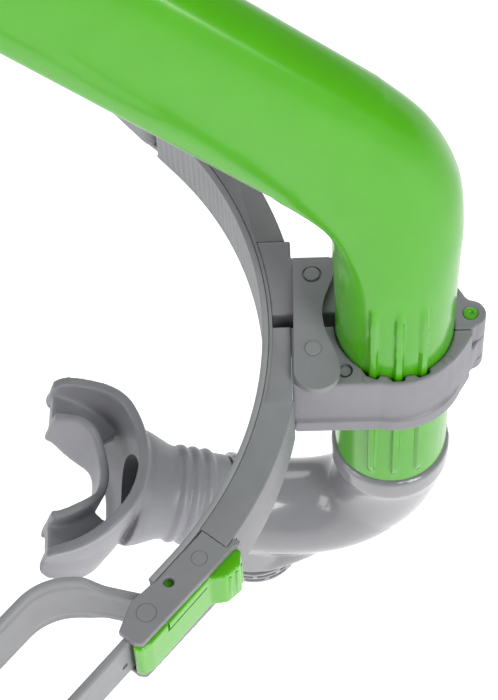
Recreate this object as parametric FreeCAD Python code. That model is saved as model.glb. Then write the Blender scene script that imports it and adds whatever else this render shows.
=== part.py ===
# Front snorkel for swim training: a breathing tube held in front of the face by a
# forehead bracket with a hinged tube clamp, a head strap and an elbow with a mouthpiece.
# Frame: origin at the middle of the forehead pad's inner face, +X forward (away from
# the forehead), +Y to the wearer's left, +Z up along the round part of the tube.
import FreeCAD
import Part
import os
from math import sin, cos, tan, radians, degrees, atan2

V = FreeCAD.Vector
Z_UP = V(0, 0, 1)

# ---- driving dimensions, millimetres -------------------------------------------------
TUBE_X = 29.0            # tube axis ahead of the pad's inner face
TUBE_R = 13.0            # round part of the tube
TUBE_WALL = 1.6
SPIGOT_R = 12.3          # lower end of the tube, inside the elbow's cuff
TUBE_FOOT = -45.0
CUFF_TOP = -38.0         # top of the elbow's cuff round the tube
SEAL_R = 0.34            # thickness radius of the seal ring on the spigot
SEAL_Z = -42.3
ROUND_TOP = 16.0         # the tube is round below this height
BLADE_TILT = 47.0        # backward lean of the flat upper tube, degrees
BLADE_LENGTH = 190.0     # straight flat length above the bend
BLADE_CHORD = 31.7
BLADE_HALF_WIDTH = 9.2
BEND_R = 55.0            # front outline of the bend
BEND_START = 49.0        # height where the front outline leaves the vertical

RIB_ANGLES = (-23.0, 1.0, 25.0)   # from the sideways direction, towards the front
RIB_WIDTH = 2.0
RIB_HEIGHT = 0.9
RIB_TOP = 30.0
NOTCH_WIDTH = 3.0
NOTCH_DEPTH = 1.2

CLAMP_TOP = 8.0
CLAMP_FOOT = -10.0
CLAMP_BORE = TUBE_R + 0.05
CLAMP_REAR_X = 6.2       # rear face of both clamp halves' blocks
NEAR_SIDE_Y = -15.0
NEAR_RING_R = 15.4
FAR_SIDE_Y = 19.0
FAR_RING_R = 17.5
REAR_GAP = (0.4, 3.8)    # gap between the halves on the forehead side
FRONT_SEAM_Y = -1.3
HINGE = (45.8, 2.8)
HINGE_PIN_R = 1.6
KNUCKLE_R = 3.5
KNUCKLE_Z = (-6.6, 1.4)  # the swing half's knuckle lies between the fixed half's two
OPENING_STEPS = (1.5, 3.0, 5.0, 7.0)  # degrees of opening over which the half leaves the tube

LATCH_PIVOT = (11.3, 12.8)
LATCH_DETENT = (11.0, -6.8)
LATCH_BOTTOM = 8.3
LATCH_TOP = 10.2
RIVET_R = 1.75

PAD_R = 86.0             # inner radius of the forehead pad
PAD_THICK = 1.6
WEB = 0.7                # frame left behind the clamp's feet
FLOOR_Z = -7.0           # floor of the pocket that the feet stand in
NEAR_FOOT_Y = -18.6
FAR_FOOT_Y = 23.6
FRAME_OUT_R = 94.5
FRAME_HALF_H = 8.0
BUCKLE_ANGLE = 40.0      # direction of the frame's ends, from the sideways direction

HOUSING_START = 46.5     # along the buckle's own direction, from the origin; the frame ends here
HOUSING_END = 75.0
PLATE = 1.8              # thickness of the housing's top and bottom plates
LEVER_PIVOT = (60.0, 24.0)
LEVER_PIN_R = 1.1
LEVER_FLOOR = 24.6       # inner side of the cavity that the lever moves in
TONGUE = 1.5             # thickness of the frame's tongues inside the housings
STRAP_BAR = (67.0, 22.9)
STRAP_BAR_R = 1.2
STRAP_THICK = 1.8
STRAP_NARROW = 12.0
STRAP_WIDE = 17.0
TAIL_END = 106.0
RIGHT_LEAVE = 165.0      # heading of the strap as it leaves the right bar, degrees
RIGHT_RUN = 9.0          # length of the narrow part after the turn
RIGHT_ROUTE = ((-47.0, -60.6), (-63.8, -80.5), (-105.0, -92.0), (-150.0, -78.0), (-181.0, -42.0))
RIGHT_RADII = (12.0, 13.0, 38.0, 60.0, 60.0, 50.0)
LEFT_LEAVE = 230.0       # the left end hangs straight back beside its tail
LEFT_RUN = 28.0
LEFT_ROUTE = ((-75.0, -112.0), (-115.0, -117.0), (-158.0, -97.0), (-181.0, -50.0))
LEFT_RADII = (30.0, 45.0, 60.0, 50.0, 50.0)

ELBOW_R = 13.9
ELBOW_WAIST_R = 11.45    # in the middle of the bend
ELBOW_END_R = 12.3       # at the mouth end
ELBOW_WALL = 1.9
AIRWAY_R = 7.4           # bore of the elbow's mouth end and spigot
SPIGOT_LENGTH = 12.0     # of the spigot that the mouthpiece is pushed over
MOUTH_RISE = 20.0        # degrees that the mouth end points above the horizontal
ELBOW_ROUTE = ((29.0, -44.5), (29.0, -46.0), (30.5, -83.2), (-12.1, -67.7))   # (x, z) of a Bezier
ELBOW_RINGS = 15
SUMP_X = -4.4
SUMP_R = 11.4
SUMP_WALL = 1.6
VALVE_Z = -85.6          # lower face of the sump
COVER_Z = -90.3
SEAT_THICK = 1.4
SEAT_WINDOW = 7.6        # outer radius of the seat's four windows
MEMBRANE_R = 8.4
STEM_R = 1.2
COVER_WALL = 1.3
SLITS = 12
SLIT_HALF = 2.4
SLIT_HEIGHT = 0.8

NECK_R = 11.3
NECK_BORE = 8.95
SHIELD_R = 23.7
SHIELD_WALL = 2.2
SHIELD_AT = 20.5         # distance of the shield from the elbow's end
SHIELD_HALF_H = 14.0
SHIELD_SHORT = 0.4       # the shield's ends stop this far before its half circle
RIDGES = (2.6, 6.8, 11.0)   # where the neck's ridges start
RIDGE_WIDTH = 2.0
FLARE_R = 14.5
FLARE_END = 22.0
BITE_R = 12.5            # inner radius of the bite lugs and their wall
BITE_HALF_H = 1.8
BITE_WALL_H = 5.0
BITE_GAP = 7.5           # half width of the gap between the two lugs

os.makedirs("parts", exist_ok=True)


# ---- small tools ---------------------------------------------------------------------
def save(name, shape):
    shape.exportStep("parts/" + name + ".step")


def cylinder(r, z0, z1, x=0.0, y=0.0):
    return Part.makeCylinder(r, z1 - z0, V(x, y, z0))


def block(x0, x1, y0, y1, z0, z1):
    return Part.makeBox(x1 - x0, y1 - y0, z1 - z0, V(x0, y0, z0))


def plate(points, z0, z1):
    """Solid from a flat outline given as (x, y) corners."""
    ring = [V(x, y, z0) for x, y in points]
    face = Part.Face(Part.makePolygon(ring + [ring[0]]))
    return face.extrude(V(0, 0, z1 - z0))


def tangent_route(points, radii):
    """Wire of straight runs joined by tangent arcs; one radius per inner point."""
    pts = [V(*p) for p in points]
    edges = []
    start = pts[0]
    for i in range(1, len(pts) - 1):
        into = (pts[i] - pts[i - 1]).normalize()
        out = (pts[i + 1] - pts[i]).normalize()
        half = into.getAngle(out) / 2.0
        back = radii[i - 1] * tan(half)
        first = pts[i] - into * back
        last = pts[i] + out * back
        corner = (out - into).normalize()
        middle = pts[i] + corner * (radii[i - 1] / cos(half) - radii[i - 1])
        if (first - start).Length > 1e-6:
            edges.append(Part.makeLine(start, first))
        edges.append(Part.Arc(first, middle, last).toShape())
        start = last
    edges.append(Part.makeLine(start, pts[-1]))
    return Part.Wire(edges)


def mirrored(shape):
    """The same piece on the wearer's other side."""
    return shape.mirror(V(0, 0, 0), V(0, 1, 0))


def rounded(shape, radius, wanted):
    """Fillets the edges that the test picks, one radius for all."""
    edges = [e for e in shape.Edges if wanted(e)]
    return shape.makeFillet(radius, edges)


# ---- breathing tube ------------------------------------------------------------------
def tube_stations():
    """Front point (x, z), tilt, chord, half width, corner angle, exponent, rear bulge."""
    front = TUBE_X + 13.5
    stations = [
        ((TUBE_X + TUBE_R, ROUND_TOP), 0.0, TUBE_R, TUBE_R, 90.0, 2.0, TUBE_R),
        ((TUBE_X + 13.3, 35.0), 2.0, 17.3, 12.5, 101.0, 2.1, 9.6),
        ((TUBE_X + 13.4, BEND_START), 9.0, 21.8, 11.7, 110.0, 2.2, 6.0),
    ]
    bends = ((15.0, 17.0, 27.0, 10.7, 120.0, 2.35, 2.2), (31.0, 31.0, 30.6, 9.8, 125.0, 2.5, 1.4))
    for turn, tilt, chord, half, corner, power, bulge in bends:
        x = front - BEND_R * (1.0 - cos(radians(turn)))
        z = BEND_START + BEND_R * sin(radians(turn))
        stations.append(((x, z), tilt, chord, half, corner, power, bulge))
    x = front - BEND_R * (1.0 - cos(radians(BLADE_TILT)))
    z = BEND_START + BEND_R * sin(radians(BLADE_TILT))
    for reach, shrink in ((0.0, 1.0), (0.5, 0.97), (1.0, 0.9)):
        length = reach * BLADE_LENGTH
        at = (x - length * sin(radians(BLADE_TILT)), z + length * cos(radians(BLADE_TILT)))
        stations.append((at, BLADE_TILT, BLADE_CHORD * shrink, BLADE_HALF_WIDTH * shrink, 128.0, 2.6, 1.2))
    return stations


def smooth_curve(points):
    """Curve through the points, leaving both ends along the circle through the last three."""
    def end_direction(a, b, c):
        arc = Part.Arc(a, b, c).toShape()
        return arc.tangentAt(arc.FirstParameter)
    start = end_direction(points[0], points[1], points[2])
    finish = end_direction(points[-1], points[-2], points[-3]) * -1.0
    curve = Part.BSplineCurve()
    curve.interpolate(Points=points, InitialTangent=start, FinalTangent=finish, Scale=False)
    return curve


def tube_section(station, wall):
    """Closed wire of one station, drawn in by the wall: a front curve and a rear curve."""
    (fx, fz), tilt, chord, half, corner, power, bulge = station
    forward = V(cos(radians(tilt)), 0, sin(radians(tilt)))
    side = V(0, 1, 0)
    front = V(fx, 0, fz) - forward * wall
    chord = chord - wall * (2.0 if corner > 91.0 else 1.0)
    half = half - wall
    bulge = max(bulge - wall, 0.8) if corner < 100.0 else max(bulge - 0.3 * wall, 0.6)
    reach = chord / (1.0 + abs(cos(radians(corner))) ** (2.0 / power))
    middle = front - forward * reach
    points = []
    steps = 16
    for i in range(steps + 1):
        a = radians(-corner + 2.0 * corner * i / steps)
        u = reach * (1 if cos(a) >= 0 else -1) * abs(cos(a)) ** (2.0 / power)
        v = half * (1 if sin(a) >= 0 else -1) * abs(sin(a)) ** (2.0 / power)
        points.append(middle + forward * u + side * v)
    nose = smooth_curve(points)
    first, last = points[0], points[-1]
    base = (first + last) * 0.5
    width = (last - first).Length / 2.0
    tail_points = []
    for i in range(13):
        a = radians(90.0 - 180.0 * i / 12)
        tail_points.append(base - forward * (bulge * cos(a)) + side * (width * sin(a)))
    tail = smooth_curve(tail_points)
    return Part.Wire([nose.toShape(), tail.toShape()])


def eased_stations():
    """Every station of the bend with two more in between, on the front's own curve."""
    keys = tube_stations()
    row = []
    for i in range(len(keys) - 1):
        steps = 3 if i < 5 else 1
        before = keys[max(i - 1, 0)]
        after = keys[i + 2] if i + 2 < len(keys) and i < 4 else keys[i + 1]
        for k in range(steps):
            t = k / steps
            row.append(curved(before, keys[i], keys[i + 1], after, t))
    row.append(keys[-1])
    return row


def curved(before, a, b, after, t):
    """Station on the smooth curve through four key stations, between the middle two."""
    def value(p0, p1, p2, p3):
        return 0.5 * (2 * p1 + (p2 - p0) * t + (2 * p0 - 5 * p1 + 4 * p2 - p3) * t * t
                      + (3 * p1 - p0 - 3 * p2 + p3) * t ** 3)
    front = tuple(value(*four) for four in zip(before[0], a[0], b[0], after[0]))
    return (front,) + tuple(value(*four) for four in zip(before[1:], a[1:], b[1:], after[1:]))


def tube_core(wall, low, overrun):
    """Round tube, bend and flat upper tube as one solid from the given height up."""
    stations = eased_stations()
    stations.insert(0, ((TUBE_X + TUBE_R, low),) + stations[0][1:])
    if overrun:
        (x, z), tilt = stations[-1][0], stations[-1][1]
        past = (x - overrun * sin(radians(tilt)), z + overrun * cos(radians(tilt)))
        stations[-1] = (past,) + stations[-1][1:]
    return Part.makeLoft([tube_section(s, wall) for s in stations], True, True)


def rib(angle, side, width, low, high, height):
    """One upright rib or the notch it runs in, at an angle from the sideways direction."""
    bar = block(-width / 2, width / 2, -(TUBE_R + height), -(TUBE_R - 1.0), low, high)
    bar.rotate(V(0, 0, 0), Z_UP, angle)
    bar.translate(V(TUBE_X, 0, 0))
    return bar if side < 0 else mirrored(bar)


def all_ribs(width, low, high, height):
    bars = [rib(a, s, width, low, high, height) for a in RIB_ANGLES for s in (-1, 1)]
    return bars[0].multiFuse(bars[1:])


def main_tube():
    step = CUFF_TOP + 0.3
    outer = tube_core(0.0, step, 0.0).fuse(cylinder(SPIGOT_R, TUBE_FOOT, step + 2.0, TUBE_X))
    outer = outer.fuse(all_ribs(RIB_WIDTH, CUFF_TOP + 1.5, RIB_TOP, RIB_HEIGHT))
    inner = tube_core(TUBE_WALL, CUFF_TOP + 4.0, 4.0)
    inner = inner.fuse(cylinder(TUBE_R - TUBE_WALL - 0.6, TUBE_FOOT - 1.0, CUFF_TOP + 5.0, TUBE_X))
    outside = cylinder(SPIGOT_R + 1.0, SEAL_Z - 0.9, SEAL_Z + 0.9, TUBE_X)
    groove = outside.cut(cylinder(SPIGOT_R - 2.1 * SEAL_R, SEAL_Z - 2.0, SEAL_Z + 2.0, TUBE_X))
    return outer.cut(inner).cut(groove)


def elbow_seal_ring():
    return Part.makeTorus(SPIGOT_R - SEAL_R, SEAL_R, V(TUBE_X, 0, SEAL_Z), Z_UP)


# ---- tube clamp ----------------------------------------------------------------------
def clamp_bore():
    return cylinder(CLAMP_BORE, CLAMP_FOOT - 1, CLAMP_TOP + 1, TUBE_X).fuse(
        all_ribs(NOTCH_WIDTH, CLAMP_FOOT - 1, CLAMP_TOP + 1, NOTCH_DEPTH))


def clamp_fixed_half():
    ring = cylinder(FAR_RING_R, CLAMP_FOOT, CLAMP_TOP, TUBE_X)
    body = block(CLAMP_REAR_X, TUBE_X, REAR_GAP[1], FAR_SIDE_Y, CLAMP_FOOT, CLAMP_TOP).fuse(ring)
    body = body.cut(block(0, TUBE_X, -30, REAR_GAP[1], -30, 30))
    body = body.cut(block(TUBE_X - 1, 70, -30, FRONT_SEAM_Y, -30, 30))
    x, y = HINGE
    lug = cylinder(KNUCKLE_R, CLAMP_FOOT, CLAMP_TOP, x, y)
    web = plate([(x - 6, y - 3.3), (x, y - KNUCKLE_R), (x, y + KNUCKLE_R), (x - 7, y + 11)], CLAMP_FOOT, CLAMP_TOP)
    body = body.fuse(lug).fuse(web)
    low, high = KNUCKLE_Z
    body = body.cut(cylinder(KNUCKLE_R + 0.6, low, high, x, y))
    body = body.cut(plate([(x - 7.8, y - 9.3), (x - 0.3, y + 0.2), (x + 6, y + 0.2), (x + 6, y - 9.3)], low, high))
    foot = block(-6.0, CLAMP_REAR_X + 0.5, REAR_GAP[1], FAR_FOOT_Y, FLOOR_Z, CLAMP_TOP).cut(web_core())
    body = body.fuse(foot).cut(clamp_bore())
    body = body.cut(cylinder(HINGE_PIN_R, CLAMP_FOOT - 1, CLAMP_TOP + 1, x, y))
    px, py = LATCH_PIVOT
    return body.cut(cylinder(1.2, 3.0, CLAMP_TOP + 1, px, py))


def turned_bore(angle):
    """Bore and rib notches where the opening clamp half needs them, in that half's own frame."""
    bore = clamp_bore()
    bore.rotate(V(HINGE[0], HINGE[1], 0), Z_UP, -angle)
    return bore


def clamp_swing_half():
    ring = cylinder(NEAR_RING_R, CLAMP_FOOT, CLAMP_TOP, TUBE_X)
    body = block(CLAMP_REAR_X + 0.1, TUBE_X, NEAR_SIDE_Y, REAR_GAP[0], CLAMP_FOOT, CLAMP_TOP).fuse(ring)
    flange = cylinder(NEAR_RING_R + 0.7, CLAMP_FOOT, CLAMP_FOOT + 4.0, TUBE_X)
    flange = flange.fuse(block(CLAMP_REAR_X + 0.6, TUBE_X, NEAR_SIDE_Y - 0.7, 0, CLAMP_FOOT, CLAMP_FOOT + 4.0))
    cheek = [(37.0, -13.2), (41.4, -9.6), (43.9, -6.3), (46.0, -2.8), (46.0, FRONT_SEAM_Y), (36.0, FRONT_SEAM_Y)]
    body = body.fuse(flange).fuse(plate(cheek, CLAMP_FOOT, CLAMP_TOP))
    body = body.cut(block(0, TUBE_X, REAR_GAP[0], 30, -30, 30))
    body = body.cut(block(TUBE_X - 1, 70, FRONT_SEAM_Y - 0.15, 30, -30, 30))
    x, y = HINGE
    low, high = KNUCKLE_Z
    knuckle = cylinder(KNUCKLE_R, low + 0.2, high - 0.2, x, y)
    web = plate([(x - 7.5, y - 9.5), (x + 0.5, y - 5.5), (x + KNUCKLE_R, y), (x, y)], low + 0.2, high - 0.2)
    body = body.fuse(knuckle).fuse(web).cut(clamp_bore())
    for swing in OPENING_STEPS:
        body = body.cut(turned_bore(swing))
    return body.cut(cylinder(HINGE_PIN_R + 0.05, CLAMP_FOOT - 1, CLAMP_TOP + 1, x, y))


def clamp_seat_block():
    return block(-6.0, CLAMP_REAR_X - 0.05, NEAR_FOOT_Y, REAR_GAP[0], FLOOR_Z, CLAMP_TOP).cut(web_core())


def clamp_hinge_pin():
    x, y = HINGE
    pin = cylinder(HINGE_PIN_R, CLAMP_FOOT, CLAMP_TOP + 0.1, x, y)
    return pin.cut(Part.makeSphere(0.8, V(x, y, CLAMP_TOP + 0.6)))


def latch_lever():
    waist = [(16.3, 16.0), (15.9, 12.0), (13.9, 6.5), (13.3, 2.0), (13.9, -2.0), (15.3, -6.0), (16.5, -10.5)]
    side = Part.BSplineCurve()
    side.interpolate([V(x, y, LATCH_BOTTOM) for x, y in waist])
    corners = [V(x, y, LATCH_BOTTOM) for x, y in ((6.7, -13.0), (7.2, 17.4), (15.2, 17.4), waist[0])]
    edges = [Part.makeLine(a, b) for a, b in zip(corners, corners[1:])]
    lobe = Part.Arc(V(waist[-1][0], waist[-1][1], LATCH_BOTTOM), V(11.8, -17.2, LATCH_BOTTOM), corners[0])
    outline = Part.Wire(edges + [side.toShape(), lobe.toShape()])
    body = Part.Face(outline).extrude(V(0, 0, LATCH_TOP - LATCH_BOTTOM))
    for x, y in (LATCH_PIVOT, LATCH_DETENT):
        body = body.cut(cylinder(1.25, LATCH_BOTTOM - 1, LATCH_TOP + 1, x, y))
    return body


def rivet(x, y, low, shank):
    head = cylinder(RIVET_R, LATCH_TOP, LATCH_TOP + 0.35, x, y)
    head = rounded(head, 0.2, lambda e: e.BoundBox.ZMin > LATCH_TOP + 0.3)
    return head.fuse(cylinder(shank, low, LATCH_TOP, x, y))


# ---- head bracket --------------------------------------------------------------------
def buckle_point(s, n):
    """Point of the near buckle: s along its own direction, n outwards from it."""
    a = radians(BUCKLE_ANGLE)
    return (-s * sin(a) + n * cos(a), -s * cos(a) - n * sin(a))


def buckle_plate(points, z0, z1):
    return plate([buckle_point(s, n) for s, n in points], z0, z1)


def buckle_box(s0, s1, n0, n1, z0, z1):
    return buckle_plate([(s0, n0), (s1, n0), (s1, n1), (s0, n1)], z0, z1)


def buckle_cylinder(at, r, z0, z1):
    x, y = buckle_point(*at)
    return cylinder(r, z0, z1, x, y)


def arc_band(r0, r1, half_angle, z0, z1):
    """Part of a ring around the head's middle, symmetric about the X axis."""
    ring = cylinder(r1, z0, z1, -PAD_R).cut(cylinder(r0, z0 - 1, z1 + 1, -PAD_R))
    far = 2.0 * r1
    a = radians(half_angle)
    wedge = plate([(-PAD_R, 0), (-PAD_R + far * cos(a), -far * sin(a)), (-PAD_R + far, -far * tan(a) * 0.4),
                   (-PAD_R + far, far * tan(a) * 0.4), (-PAD_R + far * cos(a), far * sin(a))], z0 - 1, z1 + 1)
    return ring.common(wedge)


def web_core():
    """Round core up to the web that the clamp's feet rest against."""
    return cylinder(PAD_R + PAD_THICK + WEB, -20.0, 20.0, -PAD_R)


def head_frame():
    band = arc_band(PAD_R + PAD_THICK, FRAME_OUT_R, BUCKLE_ANGLE, -FRAME_HALF_H, FRAME_HALF_H)
    beyond = buckle_box(HOUSING_START - 0.08, 80.0, 0.0, 60.0, -12, 12)
    band = band.cut(beyond).cut(mirrored(beyond))
    tongue = arc_band(PAD_R + PAD_THICK, PAD_R + PAD_THICK + TONGUE, BUCKLE_ANGLE, -5.9, 5.9)
    body = band.fuse(tongue)
    pocket = block(-6.0, 12.0, NEAR_FOOT_Y, FAR_FOOT_Y, FLOOR_Z, CLAMP_TOP + 1).cut(web_core())
    front = block(CLAMP_REAR_X - 0.05, 12.0, NEAR_FOOT_Y, FAR_FOOT_Y, -12, CLAMP_TOP + 1)
    body = body.cut(pocket).cut(front)
    free = FRAME_HALF_H - PLATE
    nose = buckle_box(42.6, 48.0, LEVER_FLOOR, 35.0, -free, free)
    return body.cut(nose).cut(mirrored(nose))


def tangent_height():
    """Outward coordinate n of the pad's inner face where it runs straight."""
    return PAD_R * (1.0 - cos(radians(BUCKLE_ANGLE)))


def forehead_pad():
    band = arc_band(PAD_R, PAD_R + PAD_THICK, BUCKLE_ANGLE, -FRAME_HALF_H, FRAME_HALF_H)
    n0 = tangent_height()
    end = buckle_box(55.2, 61.8, n0, n0 + PAD_THICK, -FRAME_HALF_H, FRAME_HALF_H)
    return band.fuse(end).fuse(mirrored(end)).removeSplitter()


def buckle_housing():
    inner = tangent_height() + PAD_THICK
    outline = [(HOUSING_START, inner), (62.0, inner), (62.0, 19.2), (69.4, 21.2), (HOUSING_END, 23.3),
               (HOUSING_END, 27.6), (74.0, 29.0), (45.5, 29.3), (44.6, 29.9), (43.4, 29.6), (44.0, 27.9), (46.5, 26.6)]
    body = buckle_plate(outline, -FRAME_HALF_H, FRAME_HALF_H)
    free = FRAME_HALF_H - PLATE
    body = body.cut(buckle_box(40, 80, LEVER_FLOOR, 35, -free, free))
    body = body.cut(buckle_box(57.3, 80, 15, 35, -free, free))
    body = body.cut(arc_band(PAD_R - 5, PAD_R + PAD_THICK + TONGUE + 0.05, 50, -5.95, 5.95))
    body = body.cut(arc_band(PAD_R - 5, PAD_R + PAD_THICK, 50, -9, 9))
    frame_side = buckle_box(30.0, HOUSING_START - 0.02, 0.0, 60.0, -10, 10)
    body = body.cut(arc_band(PAD_R - 5, FRAME_OUT_R + 0.02, BUCKLE_ANGLE, -9, 9).common(frame_side))
    body = body.cut(buckle_cylinder(LEVER_PIVOT, LEVER_PIN_R + 0.05, -10, 10))
    return body.cut(buckle_cylinder(STRAP_BAR, STRAP_BAR_R, -7.4, 7.4))


def buckle_lever():
    """Squeeze lever: ribbed grip at the front end, slim body, paddle at the strap end."""
    reach = FRAME_HALF_H - PLATE - 0.25
    outline = [(44.5, 28.4), (46.2, 27.0), (52.0, 26.6), (69.5, 27.2), (72.0, 26.5), (74.2, 26.4),
               (75.4, 27.4), (74.8, 29.0), (72.0, 29.6), (53.5, 29.4), (51.0, 31.8), (47.0, 32.3), (44.4, 30.4)]
    body = buckle_plate(outline, -reach, reach)
    ear = buckle_plate([(58.4, 22.6), (61.6, 22.6), (62.6, 27.6), (57.4, 27.6)], -reach, reach)
    body = body.fuse(ear)
    return body.fuse(buckle_cylinder(LEVER_PIVOT, LEVER_PIN_R, -FRAME_HALF_H + 1.0, FRAME_HALF_H - 1.0))


def strap_bar():
    return buckle_cylinder(STRAP_BAR, STRAP_BAR_R, -7.4, 7.4)


def swept_band(wire, width, thick):
    """Flat band along a level route: thick across the route, as tall as its width."""
    start = wire.Edges[0].firstVertex().Point
    ahead = wire.Edges[0].tangentAt(wire.Edges[0].FirstParameter)
    side = V(-ahead.y, ahead.x, 0) * (thick / 2.0)
    up = V(0, 0, width / 2.0)
    ring = [start + side + up, start - side + up, start - side - up, start + side - up]
    profile = Part.makePolygon(ring + [ring[0]])
    shell = Part.BRepOffsetAPI.MakePipeShell(wire)
    shell.setFrenetMode(True)
    shell.add(profile)
    shell.build()
    shell.makeSolid()
    return shell.shape()


def strap_end_route(heading, run):
    """Tail, turn round the bar and the narrow run after it, on the right side."""
    bar = V(*buckle_point(*STRAP_BAR), 0)
    reach = STRAP_BAR_R + 0.1 + STRAP_THICK / 2.0
    tail = V(*buckle_point(TAIL_END, STRAP_BAR[1] + reach), 0)
    before = V(*buckle_point(STRAP_BAR[0], STRAP_BAR[1] + reach), 0)
    entry = radians(90.0 - BUCKLE_ANGLE)
    leave = radians(heading)
    half = (entry + leave) / 2.0
    middle = bar + V(sin(half), -cos(half), 0) * reach
    after = bar + V(sin(leave), -cos(leave), 0) * reach
    end = after + V(cos(leave), sin(leave), 0) * run
    return tail, before, middle, after, end


def strap_end(heading, run):
    """Narrow band of one end, and where the wide band goes on from it."""
    tail, before, middle, after, end = strap_end_route(heading, run)
    route = Part.Wire([Part.makeLine(tail, before), Part.Arc(before, middle, after).toShape(),
                       Part.makeLine(after, end)])
    ahead = (end - after).normalize()
    return swept_band(route, STRAP_NARROW, STRAP_THICK), [end - ahead * 0.5, end + ahead * 5.0]


def head_strap():
    right_end, right = strap_end(RIGHT_LEAVE, RIGHT_RUN)
    left_end, left = strap_end(LEFT_LEAVE, LEFT_RUN)
    right = right + [V(x, y, 0) for x, y in RIGHT_ROUTE]
    left = left + [V(x, y, 0) for x, y in LEFT_ROUTE]
    points = [(p.x, p.y, 0) for p in right] + [(p.x, -p.y, 0) for p in reversed(left)]
    wide = tangent_route(points, RIGHT_RADII + LEFT_RADII[::-1])
    band = swept_band(wide, STRAP_WIDE, STRAP_THICK)
    return band.fuse(right_end).fuse(mirrored(left_end)).removeSplitter()


# ---- elbow and purge valve -----------------------------------------------------------
def mouth_axis():
    a = radians(MOUTH_RISE)
    return V(-cos(a), 0, sin(a))


def elbow_end():
    x, z = ELBOW_ROUTE[-1]
    return V(x, 0, z)


def elbow_station(t):
    """Middle point, turn from upright and outer radius at a share of the elbow's line."""
    (x0, z0), (x1, z1), (x2, z2), (x3, z3) = ELBOW_ROUTE
    u = 1.0 - t
    weights = (u ** 3, 3 * t * u * u, 3 * t * t * u, t ** 3)
    x = x0 * weights[0] + x1 * weights[1] + x2 * weights[2] + x3 * weights[3]
    z = z0 * weights[0] + z1 * weights[1] + z2 * weights[2] + z3 * weights[3]
    run_x = u * u * (x1 - x0) + 2 * u * t * (x2 - x1) + t * t * (x3 - x2)
    run_z = u * u * (z1 - z0) + 2 * u * t * (z2 - z1) + t * t * (z3 - z2)
    if t < 0.5:
        radius = ELBOW_R + (ELBOW_WAIST_R - ELBOW_R) * t / 0.5
    else:
        radius = ELBOW_WAIST_R + (ELBOW_END_R - ELBOW_WAIST_R) * (t - 0.5) / 0.5
    return V(x, 0, z), degrees(atan2(-run_x, -run_z)), radius


def elbow_core(inset, end_radius, top):
    """Cuff and bend as one full solid, drawn in by the inset and ending at a radius."""
    rings = []
    for i in range(ELBOW_RINGS):
        share = i / (ELBOW_RINGS - 1.0)
        middle, turn, radius = elbow_station(share)
        radius = min(radius - inset, end_radius + 16.0 * (1.0 - share))
        ring = Part.Wire(Part.makeCircle(radius))
        ring.rotate(V(0, 0, 0), V(0, 1, 0), turn)
        ring.translate(middle)
        rings.append(ring)
    return Part.makeLoft(rings, True, True).fuse(cylinder(ELBOW_R - inset, ELBOW_ROUTE[0][1], top, TUBE_X))


def elbow():
    axis = mouth_axis()
    outer = elbow_core(0.0, ELBOW_END_R, CUFF_TOP).fuse(cylinder(SUMP_R, VALVE_Z, -72.0, SUMP_X))
    outer = outer.cut(Part.makeCylinder(ELBOW_END_R + 1.0, 30.0, elbow_end(), axis))
    spigot = Part.makeCylinder(NECK_BORE - 0.05, SPIGOT_LENGTH + 1.0, elbow_end() - axis, axis)
    outer = outer.fuse(spigot)
    inner = elbow_core(ELBOW_WALL, AIRWAY_R, TUBE_FOOT + 1.0)
    inner = inner.fuse(cylinder(SPIGOT_R + 0.02, TUBE_FOOT - 0.2, CUFF_TOP + 1, TUBE_X))
    inner = inner.fuse(Part.makeCylinder(AIRWAY_R, 30.0, elbow_end() - axis * 10, axis))
    inner = inner.fuse(cylinder(SUMP_R - SUMP_WALL, VALVE_Z - 1, -74.0, SUMP_X))
    return outer.cut(inner)


def purge_valve_seat():
    seat = cylinder(SUMP_R - SUMP_WALL - 0.02, VALVE_Z, VALVE_Z + SEAT_THICK, SUMP_X)
    hub = cylinder(STEM_R + 0.1, VALVE_Z - 0.5, VALVE_Z + 2, SUMP_X)
    windows = []
    for i in range(4):
        hole = block(1.9, SEAT_WINDOW, 1.0, SEAT_WINDOW, VALVE_Z - 1, VALVE_Z + 3)
        hole.rotate(V(0, 0, 0), Z_UP, 90.0 * i)
        hole.translate(V(SUMP_X, 0, 0))
        windows.append(hole.common(cylinder(SEAT_WINDOW, VALVE_Z - 1, VALVE_Z + 3, SUMP_X)))
    return seat.cut(windows[0].multiFuse(windows[1:])).cut(hub)


def purge_valve_membrane():
    disc = cylinder(MEMBRANE_R, VALVE_Z - 0.85, VALVE_Z - 0.05, SUMP_X)
    stem = cylinder(STEM_R, VALVE_Z - 0.5, VALVE_Z + 4.0, SUMP_X)
    bead = cylinder(STEM_R + 0.7, VALVE_Z + 2.7, VALVE_Z + 4.0, SUMP_X)
    return disc.fuse(stem).fuse(bead)


def purge_valve_cover():
    """Cap with five slots in its floor and two staggered rows of slits in its side."""
    cap = cylinder(SUMP_R + 0.1, COVER_Z, VALVE_Z, SUMP_X)
    cap = rounded(cap, 0.8, lambda e: e.BoundBox.ZMax < COVER_Z + 0.1 and e.Length > 5)
    cap = cap.cut(cylinder(SUMP_R - 1.5, COVER_Z + COVER_WALL, VALVE_Z + 1, SUMP_X))
    for i in range(-2, 3):
        slot = block(SUMP_X - 6.5, SUMP_X + 6.5, 3.0 * i - 0.7, 3.0 * i + 0.7, COVER_Z - 1, COVER_Z + 3)
        cap = cap.cut(slot)
    for row in range(2):
        low = COVER_Z + COVER_WALL + 0.2 + 1.5 * row
        for i in range(SLITS):
            slit = block(7, 20, -SLIT_HALF, SLIT_HALF, low, low + SLIT_HEIGHT)
            slit.rotate(V(0, 0, 0), Z_UP, 360.0 / SLITS * (i + 0.5 * row))
            slit.translate(V(SUMP_X, 0, 0))
            cap = cap.cut(slit)
    return cap


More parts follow.
